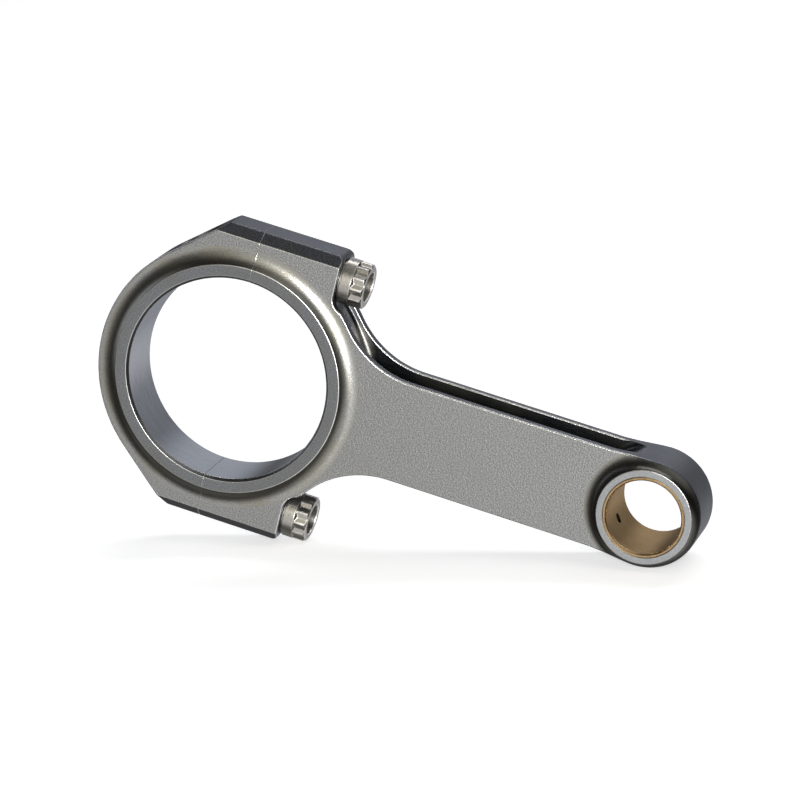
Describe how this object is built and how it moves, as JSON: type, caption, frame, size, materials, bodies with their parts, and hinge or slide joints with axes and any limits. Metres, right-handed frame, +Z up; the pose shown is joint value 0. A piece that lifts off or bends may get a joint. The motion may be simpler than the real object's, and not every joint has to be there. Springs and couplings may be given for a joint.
{
  "type": "connecting rod",
  "caption": "Forged H-beam engine connecting rod with a screwed-on big-end cap, twelve-point cap screws and a bronze pin bush.",
  "frame": {"origin": "centre of the big-end bore, on the rod's mid-plane and in the plane of the cap joint", "axes": "+X from the small end towards the cap along the rod, +Y along the bores, +Z up across the rod"},
  "size_m": [0.1869, 0.024, 0.0904],
  "materials": {
    "forged_steel": "shot-peened, dark grey, with ground thrust faces",
    "screw_steel": "bright, rolled thread",
    "sleeve_steel": "ground",
    "bronze": "honed bronze"
  },
  "bodies": {
    "rod": {"rod_beam": "forged_steel", "pin_bush": "bronze"},
    "cap": {"rod_cap": "forged_steel", "locating_sleeve_upper": "sleeve_steel", "locating_sleeve_lower": "sleeve_steel"},
    "screw_upper": {"cap_screw_upper": "screw_steel"},
    "screw_lower": {"cap_screw_lower": "screw_steel"}
  },
  "joints": [
    {"name": "cap_lift", "type": "slide", "parent": "rod", "child": "cap", "axis": [1, 0, 0], "range_m": [0, 0.035]},
    {"name": "screw_upper_withdraw", "type": "slide", "parent": "rod", "child": "screw_upper", "axis": [-1, 0, 0], "range_m": [0, 0.042]},
    {"name": "screw_lower_withdraw", "type": "slide", "parent": "rod", "child": "screw_lower", "axis": [-1, 0, 0], "range_m": [0, 0.042]}
  ]
}
